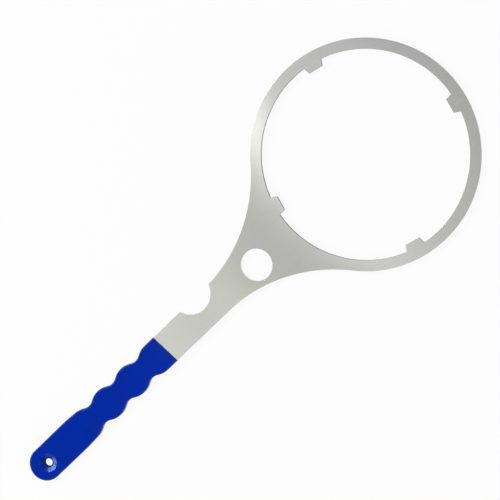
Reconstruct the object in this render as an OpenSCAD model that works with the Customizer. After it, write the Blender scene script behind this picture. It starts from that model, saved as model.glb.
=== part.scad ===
// Filter housing wrench: one flat steel plate with a lugged ring, a flared neck and a vinyl-dipped handle.
// The ring's centre is the origin, on the middle plane of the sheet. The handle runs to -X.

/* [Sheet] */
// Thickness of the steel sheet
plate_t = 3; // [2:0.1:6]

/* [Ring] */
// Inside diameter of the ring, a little over the cap it fits
ring_id = 160; // [130:0.5:190]
// Width of the ring's band
ring_band = 8.4; // [6:0.1:14]

/* [Lugs] */
// How many lugs stand in from the ring
lug_count = 4; // [3:1:8]
// How far each lug stands in from the ring's inside
lug_depth = 5.5; // [3:0.1:9]
// Width of a lug at its tip
lug_tip_w = 11.6; // [6:0.1:15]
// Width of a lug where it leaves the ring
lug_base_w = 15.4; // [12:0.1:26]
// Turn of the first lug from the handle's axis, in degrees
lug_turn = -14; // [-45:0.1:45]

/* [Neck and arm] */
// Sideways offset of the handle's axis from the ring's centre
handle_side = -1.4; // [-6:0.1:6]
// Width of the straight arm
arm_w = 26.3; // [24:0.1:34]
// Radius of the two curves that flare the arm into the ring
flare_r = 125; // [80:1:150]
// Diameter of the round hole in the neck
neck_hole_d = 25.5; // [12:0.1:28]
// Distance from the ring's inside to the centre of the neck hole
neck_hole_out = 39.8; // [30:0.1:48]
// Sideways offset of the neck hole from the handle's axis
neck_hole_side = -2.1; // [-4:0.1:4]
// Radius of the round notch in the arm's edge
notch_r = 17.6; // [13:0.1:22]
// Depth of the notch from the arm's edge
notch_depth = 11.8; // [5:0.1:13]
// Distance from the ring's inside to the middle of the notch
notch_out = 95.6; // [90:0.1:110]

/* [Grip] */
// Thickness of the vinyl skin over the steel
coat = 1.5; // [1:0.1:2.5]
// Radius of the grip's rounded edges
grip_edge_r = 1.2; // [0.4:0.1:2]
// Distance from the ring's inside to the mouth of the grip
grip_out = 142; // [136:0.5:180]
// How much farther from the ring the grip's mouth lies at one edge of the arm than at the other
mouth_lean = 2.1; // [-4:0.1:4]
// Width of the grip over its finger bumps
grip_w = 26.8; // [24:0.1:36]
// How many fingers the scallops take on each edge
finger_count = 3; // [2:1:4]
// Distance from the mouth of the grip to the first scallop
finger_start = 24.4; // [20:0.1:40]
// Spacing of the scallops along the handle
finger_pitch = 27.8; // [22:0.1:32]
// How much nearer the mouth the scallops of one edge lie than those of the other
finger_skew = 1; // [-3:0.1:3]
// Depth of a scallop below the bumps
finger_depth = 3.8; // [2:0.1:5]
// Radius of a scallop at its bottom
finger_r = 10; // [6:0.1:14]
// Width of the handle's rounded end
end_w = 28.1; // [26:0.1:40]
// Length of the slight taper from the last bump to the end
end_taper = 10.9; // [4:0.1:20]
// Length of the plain end from the taper to the centre of its rounding
end_run = 38; // [24:0.1:60]

/* [Hanging hole] */
// Diameter of the hanging hole
hang_d = 6.2; // [4:0.1:8]
// Distance from the centre of the end's rounding forward to the hanging hole
hang_forward = 2.6; // [0:0.1:8]
// Sideways offset of the hanging hole from the handle's axis
hang_side = -0.7; // [-3:0.1:3]
// Diameter of the funnel round the hanging hole at the grip's face
dish_d = 15.4; // [12:0.1:20]
// Radius of the lip that rolls from the funnel into the hole
lip_r = 1; // [0.5:0.1:2]
// Length of the straight hole between the two lips
throat = 1; // [0.6:0.1:2]
// Thickness of the vinyl that lines the hole in the steel
hang_lining = 2.9; // [2:0.1:4]

/* [Hidden] */
$fn = 128;
steel_colour = [0.80, 0.80, 0.78];
vinyl_colour = [0.01, 0.17, 0.62];
// Degrees of an arc between its points, and steps round the grip's edge
arc_step = 7.5;
edge_steps = 5;
// How far a cutting shape runs past the face that it opens
over = 1;

ring_ir = ring_id / 2;
ring_or = ring_ir + ring_band;
arm_half = arm_w / 2;
neck_hole_x = -(ring_ir + neck_hole_out);
notch_x = -(ring_ir + notch_out);
mouth_x = -(ring_ir + grip_out);
grip_t = plate_t + 2 * coat;
// How far the tang's outline runs into the arm, past the lean of the mouth
tang_root = arm_half / 2;

// A flare's centre lies beside the arm, and its curve runs a hair into the arm's edge and the ring's outside
flare_run_in = 0.02;
flare_reach = flare_r - flare_run_in;
function flare_centre(side) =
    let (y = handle_side + side * (arm_half + flare_reach))
    [-sqrt(pow(ring_or + flare_reach, 2) - pow(y, 2)), y];
function flare_touch(side) = flare_centre(side) * ring_or / (ring_or + flare_reach);

// A bump's curve meets a scallop's where both lean by the same angle
bump_lean = 2 * atan(2 * finger_depth / finger_pitch);
bump_r = finger_pitch / 2 / sin(bump_lean) - finger_r;
bump_y = grip_w / 2 - bump_r;
scallop_y = grip_w / 2 - finger_depth + finger_r;
scallop_x = [for (i = [0 : finger_count - 1]) mouth_x - finger_start - i * finger_pitch];
last_bump_x = scallop_x[finger_count - 1] - finger_pitch / 2;
end_x = last_bump_x - end_taper - end_run;

// The funnel's straight wall runs from its rim in the face to where it touches the round lip
hang_x = end_x + hang_forward;
hang_r = hang_d / 2;
lip_centre = [hang_r + lip_r, throat / 2];
dish_rim = [dish_d / 2, grip_t / 2];
rim_from_lip = dish_rim - lip_centre;
dish_slope = atan2(rim_from_lip.y, rim_from_lip.x) - asin(lip_r / norm(rim_from_lip));

// Points along an arc, without the one it starts from
function arc(centre, r, from, to) =
    let (steps = ceil(abs(to - from) / arc_step))
    [for (i = [1 : steps])
        let (a = from + (to - from) * i / steps)
        centre + r * [cos(a), sin(a)]];

// One edge of the handle from x to the tip of its end, drawn inside the grip's surface by inset
function handle_edge(x, inset, side) =
    let (skew = side * finger_skew / 2)
    concat(
        [[x - side * (grip_w / 2 - inset) * mouth_lean / arm_w, grip_w / 2 - inset]],
        [[scallop_x[0] - skew + finger_pitch / 2, grip_w / 2 - inset]],
        [for (s = scallop_x) each concat(
            arc([s - skew + finger_pitch / 2, bump_y], bump_r - inset, 90, 90 + bump_lean),
            arc([s - skew, scallop_y], finger_r + inset, -90 + bump_lean, -90 - bump_lean),
            arc([s - skew - finger_pitch / 2, bump_y], bump_r - inset, 90 - bump_lean, 90))],
        [[last_bump_x - end_taper, end_w / 2 - inset]],
        [[end_x, end_w / 2 - inset]],
        arc([end_x, 0], end_w / 2 - inset, 90, 180));

// The whole outline: one edge out to the tip, and the other edge on the way back
function handle_outline(x, inset) =
    let (out = handle_edge(x, inset, 1), back = handle_edge(x, inset, -1))
    concat(out, [for (i = [len(back) - 2 : -1 : 0]) [back[i].x, -back[i].y]]);

// The handle of the steel plate from x to its end, with the hole that the vinyl lines
module tang_outline(x) {
    translate([0, handle_side])
        difference() {
            polygon(handle_outline(x, coat));
            translate([hang_x, hang_side])
                circle(hang_r + hang_lining);
        }
}

module lug_outline() {
    tip = ring_ir - lug_depth;
    root = ring_ir + ring_band / 2;
    polygon([
        [tip, -lug_tip_w / 2],
        [tip, lug_tip_w / 2],
        [ring_ir, lug_base_w / 2],
        [root, lug_base_w / 2],
        [root, -lug_base_w / 2],
        [ring_ir, -lug_base_w / 2],
    ]);
}

// The flared neck between the arm and the ring
module neck_outline() {
    difference() {
        polygon([
            [flare_centre(-1).x, handle_side - arm_half],
            [flare_centre(1).x, handle_side + arm_half],
            flare_touch(1),
            [0, 0],
            flare_touch(-1),
        ]);
        for (side = [-1, 1])
            translate(flare_centre(side))
                circle(flare_r, $fn = 360);
    }
}

// The straight arm, ended along the grip's leaning mouth
module arm_outline() {
    translate([0, handle_side])
        polygon([
            [mouth_x + mouth_lean / 2, -arm_half],
            [0, -arm_half],
            [0, arm_half],
            [mouth_x - mouth_lean / 2, arm_half],
        ]);
}

// Ring, neck and arm as they are cut from the sheet
module head_outline() {
    difference() {
        union() {
            circle(ring_or, $fn = 256);
            neck_outline();
            arm_outline();
        }
        circle(ring_ir, $fn = 256);
        translate([neck_hole_x, handle_side + neck_hole_side])
            circle(neck_hole_d / 2);
        translate([notch_x, handle_side + arm_half - notch_depth + notch_r])
            circle(notch_r);
    }
    for (i = [0 : lug_count - 1])
        rotate(lug_turn + i * 360 / lug_count)
            lug_outline();
}

module wrench_plate() {
    color(steel_colour) {
        linear_extrude(plate_t, center = true)
            head_outline();
        linear_extrude(plate_t, center = true)
            tang_outline(mouth_x + tang_root);
    }
}

// The grip's outside: the handle's outline lofted through a rounded edge, a straight wall and a rounded edge
module grip_body() {
    levels = [for (side = [-1, 1], i = [0 : edge_steps])
        let (a = side < 0 ? -90 + 90 * i / edge_steps : 90 * i / edge_steps)
        [side * (grip_t / 2 - grip_edge_r) + grip_edge_r * sin(a), grip_edge_r * (1 - cos(a))]];
    rings = [for (level = levels)
        [for (p = handle_outline(mouth_x, level[1])) [p.x, p.y, level[0]]]];
    n = len(rings[0]);
    tip = (n - 1) / 2;
    top = (len(levels) - 1) * n;
    // Strips across a face, from the mouth to the tip
    across = concat(
        [for (i = [0 : tip - 2]) [i, i + 1, n - 2 - i, n - 1 - i]],
        [[tip - 1, tip, tip + 1]]);
    polyhedron(
        points = [for (ring = rings) each ring],
        faces = concat(
            across,
            [for (j = [0 : len(levels) - 2], i = [0 : n - 1])
                [j * n + i, (j + 1) * n + i, (j + 1) * n + (i + 1) % n, j * n + (i + 1) % n]],
            [for (strip = across) [for (i = [len(strip) - 1 : -1 : 0]) top + strip[i]]]));
}

// The space of the hanging hole: a funnel in each face that rolls over a lip into a short straight hole
module hang_space() {
    top = grip_t / 2 + over;
    half = concat(
        [[0, top], [dish_rim.x, top], dish_rim],
        [lip_centre + lip_r * [-sin(dish_slope), cos(dish_slope)]],
        arc(lip_centre, lip_r, 90 + dish_slope, 180));
    translate([hang_x, hang_side, 0])
        rotate_extrude()
            polygon(concat(half, [for (i = [len(half) - 1 : -1 : 0]) [half[i].x, -half[i].y]]));
}

module handle_grip() {
    color(vinyl_colour)
        difference() {
            translate([0, handle_side, 0])
                difference() {
                    grip_body();
                    hang_space();
                }
            linear_extrude(plate_t, center = true)
                tang_outline(mouth_x + tang_root);
        }
}

wrench_plate();
handle_grip();
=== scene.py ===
# Filter housing wrench lying on a white studio floor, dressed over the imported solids. Lengths are in metres.
from math import cos, radians, sin

import bpy
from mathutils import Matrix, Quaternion, Vector


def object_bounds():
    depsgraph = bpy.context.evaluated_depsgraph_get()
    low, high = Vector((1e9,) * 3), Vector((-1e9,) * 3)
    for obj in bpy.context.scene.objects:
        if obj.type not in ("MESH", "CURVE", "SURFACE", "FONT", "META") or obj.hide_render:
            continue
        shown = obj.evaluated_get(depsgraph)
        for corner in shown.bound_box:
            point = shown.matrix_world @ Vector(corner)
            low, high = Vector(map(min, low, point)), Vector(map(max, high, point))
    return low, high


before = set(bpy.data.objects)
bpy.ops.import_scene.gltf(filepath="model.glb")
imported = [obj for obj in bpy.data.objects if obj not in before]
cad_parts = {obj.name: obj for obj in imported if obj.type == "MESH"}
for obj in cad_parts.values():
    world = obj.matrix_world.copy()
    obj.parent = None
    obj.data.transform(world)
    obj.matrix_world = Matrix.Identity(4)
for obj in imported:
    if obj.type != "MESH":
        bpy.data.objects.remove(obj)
cad_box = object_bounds()
scene = bpy.context.scene
scene.view_settings.view_transform = "Standard"
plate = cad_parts["wrench_plate"]
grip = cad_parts["handle_grip"]
# Centre of the hanging hole
HANG_HOLE = Vector((-0.3622, -0.0021, 0))


# Helpers

def direction(azimuth, elevation):
    """Unit vector: azimuth from +X towards +Y, elevation above the floor, in degrees."""
    a, e = radians(azimuth), radians(elevation)
    return Vector((cos(a) * cos(e), sin(a) * cos(e), sin(e)))


def turned(towards, roll):
    """Rotation that looks along towards and is rolled about that line by degrees."""
    return towards.to_track_quat("-Z", "Y") @ Quaternion((0, 0, 1), radians(roll))


def grey(level):
    return (level, level, level, 1)


def new_material(name):
    """A node material: itself, its tree, and the Principled shader wired to its output."""
    material = bpy.data.materials.new(name)
    material.use_nodes = True
    tree = material.node_tree
    return material, tree, tree.nodes["Principled BSDF"]


def node(tree, kind, settings=None, **inputs):
    """A shader node with its settings and its unlinked inputs; an underscore stands for a space."""
    made = tree.nodes.new("ShaderNode" + kind)
    for key, value in (settings or {}).items():
        setattr(made, key, value)
    for key, value in inputs.items():
        made.inputs[key.replace("_", " ")].default_value = value
    return made


def ramp(tree, source, stops):
    """A colour ramp on source; stops are (position, value) in grey or (position, colour)."""
    made = tree.nodes.new("ShaderNodeValToRGB")
    elements = made.color_ramp.elements
    while len(elements) < len(stops):
        elements.new(0.5)
    for element, (position, value) in zip(elements, stops):
        element.position = position
        element.color = grey(value) if isinstance(value, float) else (*value, 1)
    tree.links.new(source, made.inputs["Fac"])
    return made.outputs["Color"]


def stretched(tree, scale):
    """Object coordinates, scaled along each axis."""
    place = node(tree, "TexCoord")
    mapping = node(tree, "Mapping", Scale=scale)
    tree.links.new(place.outputs["Object"], mapping.inputs["Vector"])
    return mapping.outputs["Vector"]


def noise(tree, scale, detail):
    """Noise with its own scale along each axis, so that it can run in streaks."""
    made = node(tree, "TexNoise", Scale=1.0, Detail=detail)
    tree.links.new(stretched(tree, scale), made.inputs["Vector"])
    return made.outputs["Fac"]


def mix(tree, factor, a, b, blend="MIX"):
    """Mixes two colours, each a socket or a constant."""
    made = node(tree, "Mix", {"data_type": "RGBA", "blend_type": blend})
    for key, value in ((0, factor), (6, a), (7, b)):
        if isinstance(value, bpy.types.NodeSocket):
            tree.links.new(value, made.inputs[key])
        else:
            made.inputs[key].default_value = value
    return made.outputs[2]


def change(tree, source, low, high):
    """A factor that rises from 0 to 1 as source goes from low to high."""
    made = node(tree, "MapRange", From_Min=low, From_Max=high)
    tree.links.new(source, made.inputs["Value"])
    return made.outputs["Result"]


def bump(tree, height, strength):
    made = node(tree, "Bump", Strength=strength, Distance=BUMP_HEIGHT)
    tree.links.new(height, made.inputs["Height"])
    return made.outputs["Normal"]


# Materials

# Height of full relief, and the share of it that each material shows
BUMP_HEIGHT = 0.0001
STEEL_RELIEF = 0.04
VINYL_RELIEF = 0.015

STEEL = (0.59, 0.59, 0.57)
STEEL_DARK = (0.56, 0.563, 0.543)
STEEL_ROUGH = (0.205, 0.195)
DARK_WALL = (0.10, 0.10, 0.095, 1)
BRIGHT_WALL = (0.86, 0.86, 0.85, 1)
WALL_ROUGH = 0.4
# Distances from the ring's centre between which the walls change from dark to bright
WALL_CHANGE = (0.083, 0.086)
# A surface is a wall where its normal's Z part is small, and a face where it is large
WALL_STOPS = [(0.35, 1.0), (0.75, 0.0)]

VINYL = (0.0, 0.0264, 0.416)
VINYL_DEEP = (0.0, 0.0236, 0.382)
VINYL_GLOSS = (0.48, 0.7, 1.0, 1)
VINYL_SPECULAR = 0.4
VINYL_ROUGH = (0.15, 0.13)
# Colour and roughness of the painted shade, a dark ring in the hanging hole's throat
VINYL_PAINTED_SHADE = (0.0, 0.005, 0.07, 1)
PAINTED_SHADE_ROUGH = 0.6
# Distances from the hanging hole's axis between which the vinyl goes from painted shade to its plain colour
PAINTED_SHADE_CHANGE = (0.0038, 0.0046)

# Noise scales along X, Y and Z
BRUSH_STREAKS = (14, 900, 900)
STEEL_CLOUDS = (30, 60, 60)
CUT_MARKS = (2500, 2500, 60)
VINYL_CLOUDS = (45, 45, 45)
VINYL_PEEL = (900, 900, 900)
FLOOR_GRAIN = (3, 3, 3)

FLOOR_LEVELS = (0.925, 0.935)
# Share of plain white in what the camera and reflections see of the floor
FLOOR_WHITE = 0.92


def steel_material():
    """Brushed stainless sheet: streaks along the handle on both faces, dark walls inside the ring, and
    bright walls elsewhere."""
    material, tree, shader = new_material("steel")
    shader.inputs["Metallic"].default_value = 1.0
    shader.inputs["Anisotropic"].default_value = 1.0
    # Brush marks run along X, so reflections spread along Y
    across = node(tree, "CombineXYZ", Y=1.0)
    tree.links.new(across.outputs["Vector"], shader.inputs["Tangent"])

    streaks = noise(tree, BRUSH_STREAKS, 4.0)
    clouds = noise(tree, STEEL_CLOUDS, 3.0)
    tone = mix(tree, 0.5, streaks, clouds)
    brushed = ramp(tree, tone, [(0.35, STEEL_DARK), (0.65, STEEL)])

    # Walls are where the surface turns away from the sheet's faces
    place = node(tree, "TexCoord")
    parts = node(tree, "SeparateXYZ")
    tree.links.new(place.outputs["Normal"], parts.inputs["Vector"])
    facing = node(tree, "Math", {"operation": "ABSOLUTE"})
    tree.links.new(parts.outputs["Z"], facing.inputs[0])
    wall = ramp(tree, facing.outputs[0], WALL_STOPS)
    reach = node(tree, "VectorMath", {"operation": "LENGTH"})
    tree.links.new(place.outputs["Object"], reach.inputs[0])
    outside = change(tree, reach.outputs["Value"], *WALL_CHANGE)
    # Walls are dark inside the ring and bright further out
    plain_wall = mix(tree, outside, DARK_WALL, BRIGHT_WALL)
    cuts = noise(tree, CUT_MARKS, 2.0)
    marks = ramp(tree, cuts, [(0.3, 0.8), (0.7, 1.0)])
    marked_wall = mix(tree, 1.0, plain_wall, marks, "MULTIPLY")
    tree.links.new(mix(tree, wall, brushed, marked_wall), shader.inputs["Base Color"])

    face_rough = ramp(tree, tone, list(zip((0.3, 0.7), STEEL_ROUGH)))
    tree.links.new(mix(tree, wall, face_rough, grey(WALL_ROUGH)), shader.inputs["Roughness"])
    relief = mix(tree, wall, streaks, cuts)
    tree.links.new(bump(tree, relief, STEEL_RELIEF), shader.inputs["Normal"])
    return material


def vinyl_material():
    """Dipped vinyl: deep blue, slightly mottled, with a fine orange-peel skin and a ring of painted shade in the
    hanging hole's throat.
    """
    material, tree, shader = new_material("vinyl")
    shader.inputs["Specular IOR Level"].default_value = VINYL_SPECULAR
    shader.inputs["Specular Tint"].default_value = VINYL_GLOSS
    clouds = noise(tree, VINYL_CLOUDS, 4.0)
    mottled = ramp(tree, clouds, [(0.35, VINYL_DEEP), (0.65, VINYL)])

    # Painted shade: a dark, rougher ring in the hanging hole's throat, by the distance from its axis
    from_hole = node(tree, "VectorMath", {"operation": "DISTANCE"})
    tree.links.new(stretched(tree, (1, 1, 0)), from_hole.inputs[0])
    from_hole.inputs[1].default_value = HANG_HOLE
    past_painted_shade = change(tree, from_hole.outputs["Value"], *PAINTED_SHADE_CHANGE)
    tree.links.new(mix(tree, past_painted_shade, VINYL_PAINTED_SHADE, mottled), shader.inputs["Base Color"])

    gloss = ramp(tree, clouds, list(zip((0.3, 0.7), VINYL_ROUGH)))
    # The ring of painted shade in the hole's throat is rougher
    tree.links.new(mix(tree, past_painted_shade, grey(PAINTED_SHADE_ROUGH), gloss), shader.inputs["Roughness"])
    peel = noise(tree, VINYL_PEEL, 2.0)
    tree.links.new(bump(tree, peel, VINYL_RELIEF), shader.inputs["Normal"])
    return material


def floor_material():
    """Pale matt floor that the camera and reflections see as nearly white, with the object's shadow."""
    material, tree, shader = new_material("floor")
    tree.nodes.remove(shader)
    grain = noise(tree, FLOOR_GRAIN, 2.0)
    matt = node(tree, "BsdfDiffuse")
    pale = ramp(tree, grain, list(zip((0.0, 1.0), FLOOR_LEVELS)))
    tree.links.new(pale, matt.inputs["Color"])
    path = node(tree, "LightPath")
    seen = path.outputs["Is Camera Ray"]
    for ray in ("Is Glossy Ray", "Is Transmission Ray"):
        either = node(tree, "Math", {"operation": "ADD", "use_clamp": True})
        tree.links.new(seen, either.inputs[0])
        tree.links.new(path.outputs[ray], either.inputs[1])
        seen = either.outputs[0]
    share = node(tree, "Math", {"operation": "MULTIPLY"})
    share.inputs[1].default_value = FLOOR_WHITE
    tree.links.new(seen, share.inputs[0])
    white = node(tree, "Emission")
    both = node(tree, "MixShader")
    tree.links.new(share.outputs[0], both.inputs[0])
    tree.links.new(matt.outputs[0], both.inputs[1])
    tree.links.new(white.outputs[0], both.inputs[2])
    tree.links.new(both.outputs[0], tree.nodes["Material Output"].inputs["Surface"])
    return material


# Surface finish of the CAD nodes

WELD_DISTANCE = 1e-6
# Width of the broken edges, and the turn in degrees past which an edge is broken. The rim of the grip's funnel turns
# by 22 degrees, and the facets of the grip's round edges by 18
PLATE_EDGE, PLATE_TURN = 0.00006, 50
GRIP_EDGE, GRIP_TURN = 0.0003, 20


def smooth_group():
    """Geometry nodes that shade every face smooth."""
    group = bpy.data.node_groups.new("shade_smooth", "GeometryNodeTree")
    for in_out in ("INPUT", "OUTPUT"):
        group.interface.new_socket("Geometry", in_out=in_out, socket_type="NodeSocketGeometry")
    start = group.nodes.new("NodeGroupInput")
    smooth = group.nodes.new("GeometryNodeSetShadeSmooth")
    end = group.nodes.new("NodeGroupOutput")
    group.links.new(start.outputs[0], smooth.inputs["Geometry"])
    group.links.new(smooth.outputs[0], end.inputs[0])
    return group


def dress(obj, material, edge, turn, group):
    """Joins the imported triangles, breaks the edges that turn by more than turn, and shades the rest smooth."""
    obj.data.materials.clear()
    obj.data.materials.append(material)
    weld = obj.modifiers.new("join", "WELD")
    weld.merge_threshold = WELD_DISTANCE
    bevel = obj.modifiers.new("edges", "BEVEL")
    bevel.width = edge
    bevel.segments = 2
    bevel.limit_method = "ANGLE"
    bevel.angle_limit = radians(turn)
    smooth = obj.modifiers.new("smooth", "NODES")
    smooth.node_group = group
    normals = obj.modifiers.new("normals", "WEIGHTED_NORMAL")
    normals.keep_sharp = True


all_smooth = smooth_group()
dress(plate, steel_material(), PLATE_EDGE, PLATE_TURN, all_smooth)
dress(grip, vinyl_material(), GRIP_EDGE, GRIP_TURN, all_smooth)


# Floor

FLOOR_HALF = 6.0
# Clearance that keeps the floor from sharing the grip's lowest plane
FLOOR_GAP = 0.00002

floor_z = cad_box[0].z - FLOOR_GAP
corners = [(-1, -1), (1, -1), (1, 1), (-1, 1)]
floor_mesh = bpy.data.meshes.new("floor")
floor_mesh.from_pydata([(FLOOR_HALF * x, FLOOR_HALF * y, floor_z) for x, y in corners], [], [(0, 1, 2, 3)])
floor_mesh.materials.append(floor_material())
floor = bpy.data.objects.new("floor", floor_mesh)
scene.collection.objects.link(floor)


# Camera

CAMERA_AIM = Vector((-0.11545, 0.0084, 0.0015))
CAMERA_AZIMUTH = -17.26
CAMERA_ELEVATION = 74.60
CAMERA_DISTANCE = 1.164
CAMERA_ROLL = -116.16
CAMERA_LENS = 108

camera_data = bpy.data.cameras.new("camera")
camera_data.lens = CAMERA_LENS
camera = bpy.data.objects.new("camera", camera_data)
back = direction(CAMERA_AZIMUTH, CAMERA_ELEVATION)
camera.location = CAMERA_AIM + back * CAMERA_DISTANCE
camera.rotation_mode = "QUATERNION"
camera.rotation_quaternion = turned(-back, CAMERA_ROLL)
scene.collection.objects.link(camera)
scene.camera = camera


# Light

# Soft lights: name, place, aim, width and height, power in watts, roll in degrees
LAMPS = [
    ("strip", (-0.368, 1.07, 1.19), (-0.368, 0, 0), (0.055, 0.6), 3.2, 0),
    ("top", (-0.17, 0.92, 1.32), (-0.17, 0, 0), (0.16, 0.3), 0.35, 0),
    ("upper", (-0.556, 1.011, 1.223), HANG_HOLE, (0.5, 0.18), 2.1, -38),
    ("key", (-1.162, 1.065, 0.967), HANG_HOLE, (0.9, 0.20), 5.6, -36),
    ("side", (-1.64, 0.534, 0.592), HANG_HOLE, (1.24, 0.18), 3.1, -16),
]
# The lamps that draw the crescent in the hanging hole's funnel, and would bleach the steel
FUNNEL_LAMPS = ("upper", "key", "side")

# Level of the studio's light against the X part of its direction, with a big bright panel over the arm
PANEL_TINT = (0.98, 1.0, 0.94)
STUDIO_X = (-0.80, 0.05)


def panel(level):
    return tuple(level * tint for tint in PANEL_TINT)


STUDIO_STOPS = [
    (-0.80, 0.95),
    (-0.60, 0.75),
    (-0.375, 0.75),
    (-0.345, panel(2.2)),
    (-0.300, panel(1.32)),
    (-0.275, panel(0.96)),
    (-0.245, panel(0.66)),
    (-0.225, panel(0.71)),
    (-0.203, 0.95),
    (-0.185, 0.78),
    (-0.150, 0.83),
    (-0.115, 0.71),
    (0.05, 0.60),
]
# Level against the height of the direction above the floor, darker towards the horizon
HORIZON_STOPS = [(0.0, 0.45), (0.35, 0.65), (0.8, 1.0)]

# Black cards, by the X and Y parts of the directions they cover: centre and half size. The first keeps the grip's
# face dark without hiding the panel from the steel, and the others darken the far wall of the hanging hole's funnel
CARDS = [
    ((-0.425, 0.07, 0), (0.12, 0.075)),
    ((-0.25, -0.55, 0), (0.30, 0.10)),
    ((0.27, -0.10, 0), (0.11, 0.30)),
]
CARD_EDGE = 0.016
CARD_LEVEL = 0.03


def softbox(name, place, aim, size, power, roll):
    """A rectangular soft light at place, turned to aim and rolled about its own axis."""
    data = bpy.data.lights.new(name, "AREA")
    data.shape = "RECTANGLE"
    data.size, data.size_y = size
    data.energy = power
    lamp = bpy.data.objects.new(name, data)
    lamp.location = place
    lamp.rotation_mode = "QUATERNION"
    lamp.rotation_quaternion = turned(Vector(aim) - Vector(place), roll)
    scene.collection.objects.link(lamp)
    return lamp


def keep_off(lamps, obj):
    """Light linking that keeps the lamps' light off obj, which still casts their shadows."""
    unlit = bpy.data.collections.new("unlit")
    unlit.objects.link(obj)
    unlit.collection_objects[0].light_linking.link_state = "EXCLUDE"
    for lamp in lamps:
        lamp.light_linking.receiver_collection = unlit


def off_card(tree, way, centre, half):
    """A factor that is 0 on a card and 1 past its soft edge, for the direction in the socket way."""
    from_centre = node(tree, "VectorMath", {"operation": "SUBTRACT"})
    tree.links.new(way, from_centre.inputs[0])
    from_centre.inputs[1].default_value = centre
    apart = node(tree, "VectorMath", {"operation": "ABSOLUTE"})
    tree.links.new(from_centre.outputs["Vector"], apart.inputs[0])
    parts = node(tree, "SeparateXYZ")
    tree.links.new(apart.outputs["Vector"], parts.inputs["Vector"])
    clear = node(tree, "Math", {"operation": "MAXIMUM"})
    for k, axis in enumerate("XY"):
        past = change(tree, parts.outputs[axis], half[k], half[k] + CARD_EDGE)
        tree.links.new(past, clear.inputs[k])
    return clear.outputs[0]


def studio_world():
    """A soft studio round the object: lit overhead, dimmer at the horizon, with black cards."""
    world = bpy.data.worlds.new("studio")
    world.use_nodes = True
    tree = world.node_tree
    way = node(tree, "TexCoord").outputs["Generated"]
    parts = node(tree, "SeparateXYZ")
    tree.links.new(way, parts.inputs["Vector"])
    low, high = STUDIO_X
    stops = [((x - low) / (high - low), level) for x, level in STUDIO_STOPS]
    sideways = ramp(tree, change(tree, parts.outputs["X"], low, high), stops)
    upward = ramp(tree, parts.outputs["Z"], HORIZON_STOPS)
    level = mix(tree, 1.0, sideways, upward, "MULTIPLY")
    for centre, half in CARDS:
        level = mix(tree, off_card(tree, way, centre, half), grey(CARD_LEVEL), level)
    tree.links.new(level, tree.nodes["Background"].inputs["Color"])
    return world


scene.world = studio_world()
lamps = {name: softbox(name, *setting) for name, *setting in LAMPS}
keep_off([lamps[name] for name in FUNNEL_LAMPS], plate)
